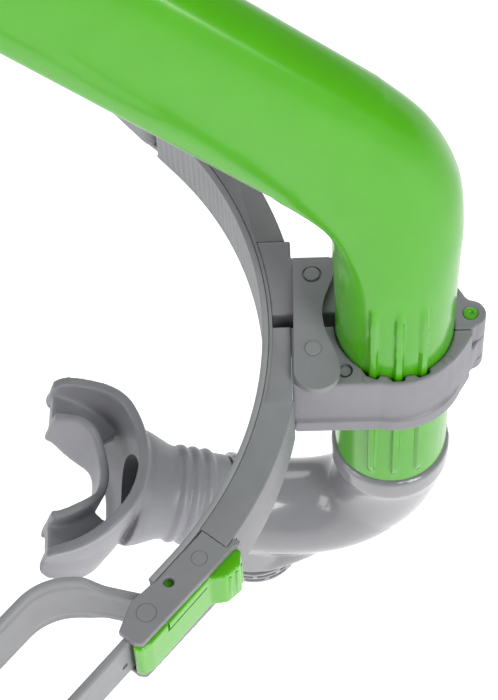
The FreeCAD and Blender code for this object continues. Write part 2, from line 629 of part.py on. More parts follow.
# ---- mouthpiece ----------------------------------------------------------------------
def mouthpiece():
    """Built along +X from the elbow's end and then turned onto the mouth axis."""
    along = V(1, 0, 0)

    def tube(r0, r1, t0, t1):
        if abs(r0 - r1) < 1e-6:
            return Part.makeCylinder(r0, t1 - t0, V(t0, 0, 0), along)
        return Part.makeCone(r0, r1, t1 - t0, V(t0, 0, 0), along)

    body = tube(NECK_R, NECK_R, 0.05, 14.0).fuse(tube(NECK_R, FLARE_R, 14.0, FLARE_END))
    for at in RIDGES:
        body = body.fuse(tube(NECK_R + 0.9, NECK_R + 0.9, at, at + RIDGE_WIDTH))
    middle = SHIELD_AT + SHIELD_R
    ring = Part.makeCylinder(SHIELD_R, 2.0 * SHIELD_HALF_H, V(middle, 0, -SHIELD_HALF_H))
    front = Part.makeBox(60, 80, 40, V(SHIELD_AT - 1, -40, -20))
    front = front.cut(Part.makeBox(60, 80, 60, V(middle - SHIELD_SHORT, -40, -30)))
    shield = ring.common(front)
    hollow = Part.makeCylinder(SHIELD_R - SHIELD_WALL, 60.0, V(middle, 0, -30.0))
    body = body.fuse(shield).cut(hollow)
    bite = Part.makeCylinder(SHIELD_R - SHIELD_WALL + 0.3, 2.0 * BITE_HALF_H, V(middle, 0, -BITE_HALF_H))
    wall = Part.makeCylinder(BITE_R + 2.0, 2.0 * BITE_WALL_H, V(middle, 0, -BITE_WALL_H))
    keep = Part.makeBox(22, 80, 40, V(middle - 20, -40, -20))
    gap = Part.makeBox(40, 2.0 * BITE_GAP, 40, V(middle - 40, -BITE_GAP, -20))
    lugs = bite.cut(gap).fuse(wall).cut(Part.makeCylinder(BITE_R, 20, V(middle, 0, -10))).common(keep)
    body = body.fuse(lugs)
    bore = tube(NECK_BORE, NECK_BORE, -1.0, 13.0).fuse(tube(NECK_BORE, AIRWAY_R + 0.1, 13.0, 26.0))
    body = body.cut(bore)
    body.rotate(V(0, 0, 0), V(0, 0, 1), 180.0)
    body.rotate(V(0, 0, 0), V(0, 1, 0), MOUTH_RISE)
    body.translate(elbow_end())
    return body


# ---- build ---------------------------------------------------------------------------
if __name__ == "__main__":
    save("main_tube", main_tube())
    save("elbow_seal_ring", elbow_seal_ring())
    save("clamp_fixed_half", clamp_fixed_half())
    save("clamp_swing_half", clamp_swing_half())
    save("clamp_seat_block", clamp_seat_block())
    save("clamp_hinge_pin", clamp_hinge_pin())
    save("latch_lever", latch_lever())
    save("latch_pivot_rivet", rivet(LATCH_PIVOT[0], LATCH_PIVOT[1], 3.0, 1.2))
    save("latch_detent_pin", rivet(LATCH_DETENT[0], LATCH_DETENT[1], LATCH_BOTTOM, 1.25))
    save("head_frame", head_frame())
    save("forehead_pad", forehead_pad())
    for side, turn in (("right", lambda s: s), ("left", mirrored)):
        save(side + "_buckle_housing", turn(buckle_housing()))
        save(side + "_buckle_lever", turn(buckle_lever()))
        save(side + "_strap_bar", turn(strap_bar()))
    save("head_strap", head_strap())
    save("elbow", elbow())
    save("purge_valve_seat", purge_valve_seat())
    save("purge_valve_membrane", purge_valve_membrane())
    save("purge_valve_cover", purge_valve_cover())
    save("mouthpiece", mouthpiece())
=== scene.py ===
import bmesh
import bpy
from math import atan2, cos, hypot, pi, radians, sin, sqrt, tan
from mathutils import Matrix, Vector


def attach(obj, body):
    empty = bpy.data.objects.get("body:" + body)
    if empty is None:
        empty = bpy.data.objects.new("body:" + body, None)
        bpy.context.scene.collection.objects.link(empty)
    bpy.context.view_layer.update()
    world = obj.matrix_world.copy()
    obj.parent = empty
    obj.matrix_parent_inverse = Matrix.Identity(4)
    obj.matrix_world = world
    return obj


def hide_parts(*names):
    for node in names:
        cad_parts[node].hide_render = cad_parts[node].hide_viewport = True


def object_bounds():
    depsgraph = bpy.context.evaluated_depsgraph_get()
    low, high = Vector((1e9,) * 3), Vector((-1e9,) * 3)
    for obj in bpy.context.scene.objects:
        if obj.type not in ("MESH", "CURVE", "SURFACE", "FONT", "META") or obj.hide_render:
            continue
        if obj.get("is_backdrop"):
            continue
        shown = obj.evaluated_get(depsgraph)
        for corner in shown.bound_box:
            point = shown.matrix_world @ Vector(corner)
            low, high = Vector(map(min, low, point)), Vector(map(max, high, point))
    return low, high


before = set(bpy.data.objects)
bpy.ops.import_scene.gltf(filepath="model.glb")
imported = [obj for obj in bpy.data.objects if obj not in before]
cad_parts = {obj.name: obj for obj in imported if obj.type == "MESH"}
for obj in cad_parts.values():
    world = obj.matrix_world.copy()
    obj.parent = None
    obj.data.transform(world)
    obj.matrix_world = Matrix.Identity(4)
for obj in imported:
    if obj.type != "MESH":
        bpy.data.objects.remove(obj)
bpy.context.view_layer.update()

# ---- head frame ------------------------------------------------------------------------
# The curved bar across the forehead is one hard grey moulding. Its outer edges are well
# rounded, its inner side carries the soft pad, and a pocket in its middle holds the clamp.
MM = 0.001
PAD_R = 86.0             # inner radius of the pad, round the middle of the head
FRAME_OUT_R = 94.5
FRAME_HALF_H = 8.0
GREY = (0.228, 0.226, 0.246)


def select_only(*pieces):
    """Leaves just these pieces selected, the first of them active."""
    bpy.ops.object.select_all(action="DESELECT")
    for piece in pieces:
        piece.select_set(True)
    bpy.context.view_layer.objects.active = pieces[0]


def from_frame(node, name):
    """Copy of a frame node's mesh, its loose triangles merged into whole faces."""
    piece = bpy.data.objects.new(name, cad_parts[node].data.copy())
    bpy.context.scene.collection.objects.link(piece)
    piece.data.materials.clear()
    select_only(piece)
    bpy.ops.object.mode_set(mode="EDIT")
    bpy.ops.mesh.select_all(action="SELECT")
    bpy.ops.mesh.remove_doubles(threshold=0.002 * MM)
    bpy.ops.mesh.dissolve_limited(angle_limit=radians(0.8))
    bpy.ops.object.mode_set(mode="OBJECT")
    return piece


def apply(piece, kind, **settings):
    """Adds one modifier with these settings and applies it."""
    select_only(piece)
    step = piece.modifiers.new(kind.lower(), kind)
    for setting, value in settings.items():
        setattr(step, setting, value)
    bpy.ops.object.modifier_apply(modifier=step.name)
    return piece


def soften(piece, width, segments=2, angle=32.0):
    """Small round on every edge sharper than the angle; width in millimetres."""
    return apply(piece, "BEVEL", width=width * MM, segments=segments, limit_method="ANGLE",
                 angle_limit=radians(angle), use_clamp_overlap=True, miter_outer="MITER_ARC")


def round_edges(piece, width, segments, wanted):
    """Rounds the edges whose two ends, in millimetres, pass the test."""
    select_only(piece)
    bpy.ops.object.mode_set(mode="EDIT")
    bpy.ops.mesh.select_mode(type="EDGE")
    bpy.ops.mesh.select_all(action="DESELECT")
    mesh = bmesh.from_edit_mesh(piece.data)
    for edge in mesh.edges:
        a, b = (v.co / MM for v in edge.verts)
        edge.select_set(wanted(a, b) and edge.calc_face_angle(0.0) > radians(25.0))
    bmesh.update_edit_mesh(piece.data)
    bpy.ops.mesh.bevel(offset=width * MM, segments=segments, affect="EDGES", clamp_overlap=True)
    bpy.ops.object.mode_set(mode="OBJECT")


def cut(piece, tool, operation="DIFFERENCE"):
    """Boolean with a tool that is then removed."""
    apply(piece, "BOOLEAN", object=tool, operation=operation, solver="EXACT")
    bpy.data.objects.remove(tool, do_unlink=True)
    return piece


def fused(pieces, voxel, smoothing):
    """One skin over one closed shape or several overlapping ones, its edges and joins rounded.
    voxel is in millimetres; smoothing is a number of passes."""
    select_only(*pieces)
    bpy.ops.object.join()
    piece = pieces[0]
    apply(piece, "REMESH", mode="VOXEL", voxel_size=voxel * MM, adaptivity=0.0)
    apply(piece, "SMOOTH", factor=0.5, iterations=smoothing)
    return piece


def moulded(name, colour, roughness, grain=0.35, depth=0.012, mottle=0.05, coat=0.0, soft=0.0):
    """Moulded plastic or silicone: faint cloudy colour, uneven gloss and a fine surface grain.
    grain and depth are in millimetres; mottle is the share by which the colour varies."""
    made = bpy.data.materials.new(name)
    made.use_nodes = True
    tree = made.node_tree
    shader = tree.nodes["Principled BSDF"]
    place = tree.nodes.new("ShaderNodeTexCoord")

    def noise(size, detail):
        node = tree.nodes.new("ShaderNodeTexNoise")
        node.inputs["Scale"].default_value = 1.0 / (size * MM)
        node.inputs["Detail"].default_value = detail
        tree.links.new(place.outputs["Object"], node.inputs["Vector"])
        return node.outputs["Fac"]

    ramp = tree.nodes.new("ShaderNodeValToRGB")
    for stop, at, gain in ((0, 0.3, 1.0 - mottle), (1, 0.7, 1.0 + mottle)):
        ramp.color_ramp.elements[stop].position = at
        ramp.color_ramp.elements[stop].color = (*(channel * gain for channel in colour), 1.0)
    tree.links.new(noise(9.0, 3.0), ramp.inputs["Fac"])
    tree.links.new(ramp.outputs["Color"], shader.inputs["Base Color"])
    gloss = tree.nodes.new("ShaderNodeMapRange")
    gloss.inputs["To Min"].default_value = roughness * 0.85
    gloss.inputs["To Max"].default_value = roughness * 1.2
    tree.links.new(noise(2.5, 4.0), gloss.inputs["Value"])
    tree.links.new(gloss.outputs["Result"], shader.inputs["Roughness"])
    bump = tree.nodes.new("ShaderNodeBump")
    bump.inputs["Strength"].default_value = 0.5
    bump.inputs["Distance"].default_value = depth * MM
    tree.links.new(noise(grain, 2.0), bump.inputs["Height"])
    tree.links.new(bump.outputs["Normal"], shader.inputs["Normal"])
    shader.inputs["Coat Weight"].default_value = coat
    shader.inputs["Coat Roughness"].default_value = 0.06
    shader.inputs["Sheen Weight"].default_value = soft
    return made


def hand_over(piece, body, slot, material, *nodes, angle=35.0):
    """Shades the piece, gives it its material and puts it in place of its frame nodes."""
    select_only(piece)
    bpy.ops.object.shade_smooth_by_angle(angle=radians(angle))
    piece.data.materials.append(material)
    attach(piece, body)
    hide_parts(*nodes)
    return piece


def from_head(p):
    """Distance of a point from the upright axis through the middle of the head."""
    return hypot(p.x + PAD_R, p.y)


def on_outer_rim(a, b):
    level = abs(a.z - b.z) < 0.01 and abs(abs(a.z) - FRAME_HALF_H) < 0.05
    return level and min(from_head(a), from_head(b)) > FRAME_OUT_R - 0.1


bracket_plastic = moulded("bracket plastic", GREY, 0.42, grain=0.3, depth=0.010)
head_frame = from_frame("head_frame", "frame_bar")
round_edges(head_frame, 1.5, 5, on_outer_rim)
soften(head_frame, 0.22)
hand_over(head_frame, "bracket", "bracket_grey", bracket_plastic, "head_frame")

# ---- forehead pad ----------------------------------------------------------------------
# A thin soft strip of elastomer is moulded onto the inner side of the frame. Its skin is
# matt, its edges are round and its face has fine upright ribs that keep it from slipping.
PAD_THICK = 1.6
PAD_ARC = 40.0           # half angle of the curved part
PAD_STRAIGHT = 6.6       # length of the straight end beyond the curve
PAD_CORNER = 0.5
PAD_RIBS = 62
PAD_RIB_SWELL = 0.1      # half the depth from a rib's crest to the valley beside it
PAD_PLAIN_BORDER = 1.2   # ribs stop this far from the upper and lower edge
pad_elastomer = moulded("pad elastomer", (0.29, 0.293, 0.31), 0.6,
                        grain=0.5, depth=0.02, soft=0.15)


def pad_line(share):
    """Point and outward direction on the pad's inner face, from the right end to the left."""
    side = -1.0 if share < 0.5 else 1.0
    along = abs(share - 0.5) * 2.0 * (radians(PAD_ARC) * PAD_R + PAD_STRAIGHT)
    turn = min(along / PAD_R, radians(PAD_ARC))
    straight = along - turn * PAD_R
    out = Vector((cos(turn), side * sin(turn), 0.0))
    ahead = Vector((-sin(turn), side * cos(turn), 0.0))
    return Vector((-PAD_R, 0, 0)) + out * PAD_R + ahead * straight, out


def rounded_bar(share, thick, half_height, corner):
    """Outline of a flat bar's section: thickness from 0 to thick, height, corner radius."""
    runs = ((thick - 2 * corner), (2 * half_height - 2 * corner)) * 2
    arc = pi / 2 * corner
    left = share * (sum(runs) + 4 * arc)
    corners = ((thick - corner, half_height - corner), (thick - corner, corner - half_height),
               (corner, corner - half_height), (corner, half_height - corner))
    starts = ((corner, half_height), (thick, half_height - corner),
              (thick - corner, -half_height), (0.0, corner - half_height))
    ways = ((1, 0), (0, -1), (-1, 0), (0, 1))
    for i in range(4):
        if left <= runs[i]:
            return starts[i][0] + ways[i][0] * left, starts[i][1] + ways[i][1] * left
        left -= runs[i]
        if left <= arc or i == 3:
            turn = pi / 2 - i * pi / 2 - min(left, arc) / corner
            return corners[i][0] + corner * cos(turn), corners[i][1] + corner * sin(turn)
        left -= arc


def shaped_grid(name, across, along, place, close_ends=False):
    """A flat grid bent to shape: place gives a point in millimetres for the shares 0 to 1."""
    bpy.ops.object.select_all(action="DESELECT")
    bpy.ops.mesh.primitive_grid_add(x_subdivisions=across, y_subdivisions=along, size=1.0)
    piece = bpy.context.object
    piece.name = name
    for v in piece.data.vertices:
        v.co = place(v.co.x + 0.5, v.co.y + 0.5) * MM
    bpy.ops.object.mode_set(mode="EDIT")
    bpy.ops.mesh.select_all(action="SELECT")
    bpy.ops.mesh.remove_doubles(threshold=0.004 * MM)
    if close_ends:
        bpy.ops.mesh.select_all(action="DESELECT")
        bpy.ops.mesh.select_mode(type="EDGE")
        bpy.ops.mesh.select_non_manifold()
        bpy.ops.mesh.fill_holes(sides=0)
        bpy.ops.mesh.select_all(action="SELECT")
    bpy.ops.mesh.normals_make_consistent(inside=False)
    bpy.ops.object.mode_set(mode="OBJECT")
    return piece


def pad_place(across, along):
    base, out = pad_line(along)
    depth, height = rounded_bar(across, PAD_THICK - 0.02, FRAME_HALF_H - 0.03, PAD_CORNER)
    if depth < 0.3 and abs(height) < FRAME_HALF_H - PAD_PLAIN_BORDER:
        depth += PAD_RIB_SWELL * (1 + cos(along * 2 * pi * PAD_RIBS))
    return base + out * depth + Vector((0, 0, height))


forehead_pad = shaped_grid("pad_strip", 72, 496, pad_place, close_ends=True)
hand_over(forehead_pad, "bracket", "pad_grey", pad_elastomer, "forehead_pad")

# ---- buckles ---------------------------------------------------------------------------
# Each end of the frame carries a strap buckle: a hard grey housing of two plates with a
# web, a steel bar that the strap runs round, and a green squeeze lever on a moulded pin.
BUCKLE_TURN = radians(40.0)
LEVER_PIVOT = (60.0, 24.0)
HOUSING_MARKS = (((51.9, 25.4), 1.7), ((68.2, 25.0), 2.1))                # place, radius
GRIP_RIBS = ((46.2, 31.5, 3.9), (48.1, 31.95, 4.4), (50.0, 31.7, 4.4))    # place, half length
GRIP_RIB_R = 0.5
GROOVE_OUT = 29.4        # how far out the groove beside the spring tongue lies
GROOVE_RUNS = ((54.5, 67.0, 3.6), (66.4, 67.0, 6.5))                      # start, end, top
GROOVE_WIDTH = 0.9
GROOVE_FOOT = 3.0
PIN_CUT_R = 1.3
PIN_CUTS = ((-8.5, -6.3), (6.3, 8.5))    # the pin's ends lie back inside their holes
lever_plastic = moulded("lever plastic", (0.09, 0.44, 0.003), 0.22,
                        grain=0.6, depth=0.004, coat=0.25)
bar_steel = moulded("bar steel", (0.55, 0.55, 0.57), 0.28,
                    grain=0.1, depth=0.003, mottle=0.03)
bar_steel.node_tree.nodes["Principled BSDF"].inputs["Metallic"].default_value = 1.0


def buckle_point(s, n, z=0.0, side=-1):
    """Point of a buckle: s along its own direction, n outwards; side -1 is the right one."""
    x = -s * sin(BUCKLE_TURN) + n * cos(BUCKLE_TURN)
    y = -s * cos(BUCKLE_TURN) - n * sin(BUCKLE_TURN)
    return Vector((x, -y * side, z))


def disc(r, z0, z1, x, y, facets=48):
    """Upright round tool or boss, in millimetres."""
    bpy.ops.object.select_all(action="DESELECT")
    bpy.ops.mesh.primitive_cylinder_add(vertices=facets, radius=r * MM, depth=(z1 - z0) * MM,
                                        location=(x * MM, y * MM, (z0 + z1) / 2 * MM))
    bpy.ops.object.transform_apply(location=True)
    return bpy.context.object


def ring_tool(r, z0, z1, x, y, width):
    """Fine upright ring, used to press a mould mark into a face."""
    ring = disc(r + width / 2, z0, z1, x, y)
    return cut(ring, disc(r - width / 2, z0 - 1, z1 + 1, x, y))


def bar_tool(start, end, width, z0, z1):
    """Straight upright slab between two points, used for grooves and ribs."""
    bpy.ops.object.select_all(action="DESELECT")
    bpy.ops.mesh.primitive_cube_add(size=1.0)
    tool = bpy.context.object
    run = end - start
    turn = Matrix.Rotation(atan2(run.y, run.x), 4, "Z")
    size = Matrix.Diagonal((run.length * MM, width * MM, (z1 - z0) * MM, 1.0))
    middle = (start + end) / 2
    at = Matrix.Translation(Vector((middle.x, middle.y, (z0 + z1) / 2)) * MM)
    tool.data.transform(at @ turn @ size)
    return tool


for side, word in ((-1, "right"), (1, "left")):
    housing = from_frame(word + "_buckle_housing", word + "_buckle_body")
    pivot = buckle_point(*LEVER_PIVOT, side=side)
    fused([housing], 0.25, 8)
    for at, r in HOUSING_MARKS:
        mark = buckle_point(*at, side=side)
        cut(housing, ring_tool(r, FRAME_HALF_H - 0.12, FRAME_HALF_H + 1, mark.x, mark.y, 0.16))
    hand_over(housing, "bracket", "bracket_grey", bracket_plastic,
              word + "_buckle_housing", angle=50.0)

    lever = from_frame(word + "_buckle_lever", word + "_squeeze_lever")
    fused([lever], 0.28, 14)
    for s, n, half in GRIP_RIBS:
        at = buckle_point(s, n, side=side)
        rib = disc(GRIP_RIB_R, -half, half, at.x, at.y, 24)
        soften(rib, 0.25, 3)
        cut(lever, rib, "UNION")
    for start, end, top in GROOVE_RUNS:
        first = buckle_point(start, GROOVE_OUT, side=side)
        last = buckle_point(end, GROOVE_OUT, side=side)
        cut(lever, bar_tool(first, last, GROOVE_WIDTH, GROOVE_FOOT, top))
    for low, high in PIN_CUTS:
        cut(lever, disc(PIN_CUT_R, low, high, pivot.x, pivot.y, 24))
    hand_over(lever, word + "_lever", "tube_green", lever_plastic,
              word + "_buckle_lever", angle=50.0)

    bar = from_frame(word + "_strap_bar", word + "_steel_bar")
    soften(bar, 0.2)
    hand_over(bar, "bracket", "bar_steel", bar_steel, word + "_strap_bar")

# ---- head strap ------------------------------------------------------------------------
# One moulded silicone band goes round the head. Each end narrows, turns round the steel
# bar and lies back as a tail; the wide part has a raised middle panel between thin rims.
STRAP_BAR = (67.0, 22.9)
STRAP_THICK = 1.8
BAR_REACH = 2.2          # from the bar's middle to the strap's middle line
STRAP_LEAVES = {-1: radians(165.0), 1: radians(230.0)}
NARROW_RUNS = {-1: 9.0, 1: 28.0}
WIDENING = 5.0           # length over which the narrow end grows to full width
TAIL_END = 106.0
TAIL_STEPS = 26
TAIL_ROUND = 5.0
NARROW_HALF = 6.0
WIDE_HALF = 8.5
STRAP_CORNER = 0.5
PANEL_RISE = 0.22        # the wide part's middle panel stands above its rims, on both faces
PANEL_EDGE = (5.4, 6.0)
RIM_RISE = 0.12          # the narrow part has rims instead, on one face only
RIM_EDGE = (3.6, 4.2)
RIM_START = (3, 6)
HOLE_S = 77.0            # small hole in the tail
HOLE_R = 0.8
WIDE_ROUTES = {-1: ((-47.0, -60.6), (-63.8, -80.5), (-105.0, -92.0),
                    (-150.0, -78.0), (-181.0, -42.0)),
               1: ((-75.0, -112.0), (-115.0, -117.0), (-158.0, -97.0), (-181.0, -50.0))}
WIDE_RADII = {-1: (12.0, 13.0, 38.0, 60.0, 60.0, 50.0), 1: (30.0, 45.0, 60.0, 50.0, 50.0)}
silicone = moulded("strap silicone", (0.265, 0.266, 0.28), 0.45,
                   grain=0.4, depth=0.012, soft=0.1)


def arc_points(middle, radius, first, last, count):
    """Points along a level arc, both ends included."""
    turns = [first + (last - first) * i / count for i in range(count + 1)]
    return [middle + Vector((cos(a), sin(a), 0)) * radius for a in turns]


def strap_half_route(side):
    """One half's middle line, drawn on the right: tail, turn round the bar, run to the back."""
    bar = buckle_point(*STRAP_BAR)
    reach = STRAP_BAR[1] + BAR_REACH
    tail = [buckle_point(TAIL_END + (STRAP_BAR[0] - TAIL_END) * i / TAIL_STEPS, reach)
            for i in range(TAIL_STEPS)]
    turn = arc_points(bar, BAR_REACH, -BUCKLE_TURN, STRAP_LEAVES[side] - pi / 2, 24)
    heading = Vector((cos(STRAP_LEAVES[side]), sin(STRAP_LEAVES[side]), 0))
    corners = [turn[-1], turn[-1] + heading * (NARROW_RUNS[side] + WIDENING)]
    corners += [Vector((x, y, 0)) for x, y in WIDE_ROUTES[side]]
    corners.append(Vector((corners[-1].x, 0.0, 0)))
    run = []
    for i in range(1, len(corners) - 1):
        into = (corners[i] - corners[i - 1]).normalized()
        out = (corners[i + 1] - corners[i]).normalized()
        half = into.angle(out) / 2
        radius = WIDE_RADII[side][i - 1]
        back = radius * tan(half)
        inward = (out - into).normalized()
        middle = corners[i] + inward * (radius / cos(half))
        start = corners[i] - into * back - middle
        a = atan2(start.y, start.x)
        spin = -1.0 if into.cross(out).z < 0 else 1.0
        run += arc_points(middle, radius, a, a + spin * 2 * half, 12)
    return tail + turn + run + [corners[-1]]


def evenly(points, spacing):
    """The same line with its points at an even spacing, in millimetres."""
    made = [points[0]]
    left = spacing
    for a, b in zip(points, points[1:]):
        length = (b - a).length
        done = 0.0
        while length - done >= left:
            done += left
            made.append(a + (b - a) * (done / length))
            left = spacing
        left -= length - done
    return made + [points[-1]]


def eased(value, low, high):
    """0 below low, 1 above high, smooth between."""
    t = min(max((value - low) / (high - low), 0.0), 1.0)
    return t * t * (3 - 2 * t)


strap_right = evenly(strap_half_route(-1), 1.0)
strap_left = evenly(strap_half_route(1), 1.0)
strap_line = strap_right + [Vector((p.x, -p.y, 0)) for p in reversed(strap_left[:-1])]
strap_steps = len(strap_line) - 1


def strap_place(across, along):
    """Skin of the band: its half width and its panel and rims follow the distance travelled."""
    step = round(along * strap_steps)
    before = strap_line[max(step - 1, 0)]
    after = strap_line[min(step + 1, strap_steps)]
    run = (after - before).normalized()
    normal = Vector((-run.y, run.x, 0))
    side = -1 if step < len(strap_right) else 1
    travelled = step if side < 0 else strap_steps - step
    turned_by = BAR_REACH * (STRAP_LEAVES[side] - pi / 2 + BUCKLE_TURN)
    wide_from = TAIL_END - STRAP_BAR[0] + turned_by + NARROW_RUNS[side]
    widened = eased(travelled, wide_from - 0.5, wide_from + WIDENING)
    rounded_end = sqrt(1.0 - (1.0 - min(travelled / TAIL_ROUND, 1.0)) ** 2)
    half = (NARROW_HALF + (WIDE_HALF - NARROW_HALF) * widened) * max(rounded_end, 0.25)
    depth, height = rounded_bar(across, STRAP_THICK, half, STRAP_CORNER)
    depth -= STRAP_THICK / 2
    beside_panel = PANEL_RISE * widened * eased(abs(height), *PANEL_EDGE)
    if depth > 0.5:
        depth -= beside_panel
    elif depth < -0.5:
        depth += beside_panel
    if depth > 0.5:
        on_rim = eased(abs(height), *RIM_EDGE) * eased(travelled, *RIM_START)
        depth -= RIM_RISE * (1 - widened) * (1 - on_rim)
    return strap_line[step] + normal * depth + Vector((0, 0, height))


head_strap = shaped_grid("strap_band", 88, strap_steps, strap_place, close_ends=True)
for side in (-1, 1):
    hole = disc(HOLE_R, -0.7, 0.7, 0.0, 0.0, 24)
    at = buckle_point(HOLE_S, STRAP_BAR[1] + BAR_REACH + STRAP_THICK / 2, -1.5, side)
    out = buckle_point(0.0, 1.0, 0.0, side)
    turn = out.to_track_quat("Z", "Y").to_matrix().to_4x4()
    hole.data.transform(Matrix.Translation(at * MM) @ turn)
    cut(head_strap, hole)
hand_over(head_strap, "bracket", "strap_grey", silicone, "head_strap", angle=50.0)

# ---- tube clamp ------------------------------------------------------------------------
# Two hard grey halves close round the tube. The far one is fixed in the frame's pocket, the
# near one swings on a green pin at the front; both have notches that the tube's ribs run in.
TUBE_X = 29.0
CLAMP_TOP = 8.0
POCKET = (17.6, -11.2)   # shallow round recess in the top face, with a low stud in it
POCKET_R = 1.9
POCKET_DEPTH = 1.1
STUD = (17.9, -11.2)
STUD_R = 1.2
STUD_DROP = 0.4
CLAMP_MARKS = ((22.6, -13.6), (40.2, -9.4))
SEAT_FRONT = 5.9         # the seat block's front face is all that lies beyond this
SEAT_CLOSER = 0.11       # moved forward, so that the seam to the near half stays narrow

fixed_half = from_frame("clamp_fixed_half", "clamp_far_half")
fused([fixed_half], 0.28, 6)
hand_over(fixed_half, "bracket", "bracket_grey", bracket_plastic, "clamp_fixed_half", angle=50.0)

swing_half = from_frame("clamp_swing_half", "clamp_near_half")
fused([swing_half], 0.28, 8)
pocket = disc(POCKET_R, CLAMP_TOP - POCKET_DEPTH, CLAMP_TOP + 1, *POCKET)
cut(swing_half, cut(pocket, disc(STUD_R, CLAMP_TOP - 2, CLAMP_TOP - STUD_DROP, *STUD)))
for x, y in CLAMP_MARKS:
    cut(swing_half, ring_tool(1.15, CLAMP_TOP - 0.1, CLAMP_TOP + 1, x, y, 0.14))
hand_over(swing_half, "clamp_gate", "bracket_grey", bracket_plastic, "clamp_swing_half", angle=50.0)

seat_block = from_frame("clamp_seat_block", "clamp_seat")
soften(seat_block, 0.12, 2)
for v in seat_block.data.vertices:
    if v.co.x > SEAT_FRONT * MM:
        v.co.x += SEAT_CLOSER * MM
hand_over(seat_block, "bracket", "bracket_grey", bracket_plastic, "clamp_seat_block")

pin_plastic = moulded("pin plastic", (0.08, 0.38, 0.003), 0.28, grain=0.4, depth=0.004, coat=0.2)
hinge_pin = from_frame("clamp_hinge_pin", "hinge_pin")
soften(hinge_pin, 0.15, 3)
hand_over(hinge_pin, "bracket", "pin_green", pin_plastic, "clamp_hinge_pin")

# ---- latch -----------------------------------------------------------------------------
# A flat grey lever turns on a rivet in the fixed half and keeps the clamp shut. A second
# rivet head at its round end snaps into the near half.
LATCH_PIVOT = (11.3, 12.8)
LATCH_TOP = 10.2
LATCH_HOLE_R = 1.4
RECESS_R = 2.15          # shallow recess under the rivet's head
RECESS_DEPTH = 0.3

latch = from_frame("latch_lever", "latch_plate")
soften(latch, 0.45, 4)
cut(latch, disc(RECESS_R, LATCH_TOP - RECESS_DEPTH, LATCH_TOP + 1, *LATCH_PIVOT))
cut(latch, disc(LATCH_HOLE_R, LATCH_TOP - 3, LATCH_TOP + 1, *LATCH_PIVOT))
hand_over(latch, "latch", "bracket_grey", bracket_plastic, "latch_lever")
rivet_plastic = moulded("rivet plastic", (0.24, 0.243, 0.26), 0.5, grain=0.2, depth=0.012)
for node, name, body in (("latch_pivot_rivet", "pivot_rivet", "bracket"),
                         ("latch_detent_pin", "detent_rivet", "latch")):
    rivet = from_frame(node, name)
    soften(rivet, 0.12, 2)
    hand_over(rivet, body, "rivet_grey", rivet_plastic, node)

# ---- breathing tube --------------------------------------------------------------------
# One glossy green moulding. It is round in the clamp, with three ribs on each side, then
# bends back over the head and flattens into a long blade with a soft crease at each rear side.
TUBE_R = 13.0
SPIGOT_R = 12.3
TUBE_WALL = 1.6
TUBE_FOOT = -45.0
STEP_Z = -37.7
ROUND_TOP = 16.0
TILT = 47.0
BLADE_LENGTH = 190.0
BEND_R = 55.0
BEND_START = 49.0
RIB_ANGLES = (-23.0, 1.0, 25.0)
RIB_TOP = 33.0
RIB_FOOT = -36.0
RIB_HEIGHT = 0.9
FIRST_STRAIGHT = 5       # from this station on the tube is straight
OUTLINE_POINTS = 400     # fine steps round the front of a section
REAR_POINTS = 200        # and across its rear face
REAR_EASING = 10         # smoothing passes that round the two rear corners
tube_plastic = moulded("tube plastic", (0.068, 0.385, 0.0005), 0.2,
                       grain=1.4, depth=0.004, mottle=0.03, coat=0.15)


def tube_stations():
    """Front point, tilt, chord, half width, corner angle, roundness and rear bulge."""
    front = TUBE_X + 13.5
    rows = [(TUBE_X + TUBE_R, ROUND_TOP, 0.0, TUBE_R, TUBE_R, 90.0, 2.0, TUBE_R),
            (TUBE_X + 13.3, 35.0, 2.0, 17.3, 12.5, 101.0, 2.1, 9.6),
            (TUBE_X + 13.4, BEND_START, 9.0, 21.8, 11.7, 110.0, 2.2, 6.0)]
    for turn, shape in ((15.0, (17.0, 27.0, 10.7, 120.0, 2.35, 2.2)),
                        (31.0, (31.0, 30.6, 9.8, 125.0, 2.5, 1.4))):
        x = front - BEND_R * (1 - cos(radians(turn)))
        rows.append((x, BEND_START + BEND_R * sin(radians(turn))) + shape)
    x = front - BEND_R * (1 - cos(radians(TILT)))
    z = BEND_START + BEND_R * sin(radians(TILT))
    for share, shrink in ((0.0, 1.0), (0.5, 0.97), (1.0, 0.9)):
        length = share * BLADE_LENGTH
        rows.append((x - length * sin(radians(TILT)), z + length * cos(radians(TILT)), TILT,
                     31.7 * shrink, 9.2 * shrink, 128.0, 2.6, 1.2))
    return rows


def between(rows, at):
    """Station at a fractional row, on the smooth curve through the rows round it."""
    i = min(int(at), len(rows) - 2)
    t = at - i
    a, b = rows[i], rows[i + 1]
    if i >= FIRST_STRAIGHT:
        return tuple(p + (q - p) * t for p, q in zip(a, b))
    before = rows[max(i - 1, 0)]
    after = rows[i + 2] if i < FIRST_STRAIGHT - 1 else b
    return tuple(0.5 * (2 * p + (q - o) * t + (2 * o - 5 * p + 4 * q - r) * t * t
                        + (3 * p - o - 3 * q + r) * t ** 3)
                 for o, p, q, r in zip(before, a, b, after))


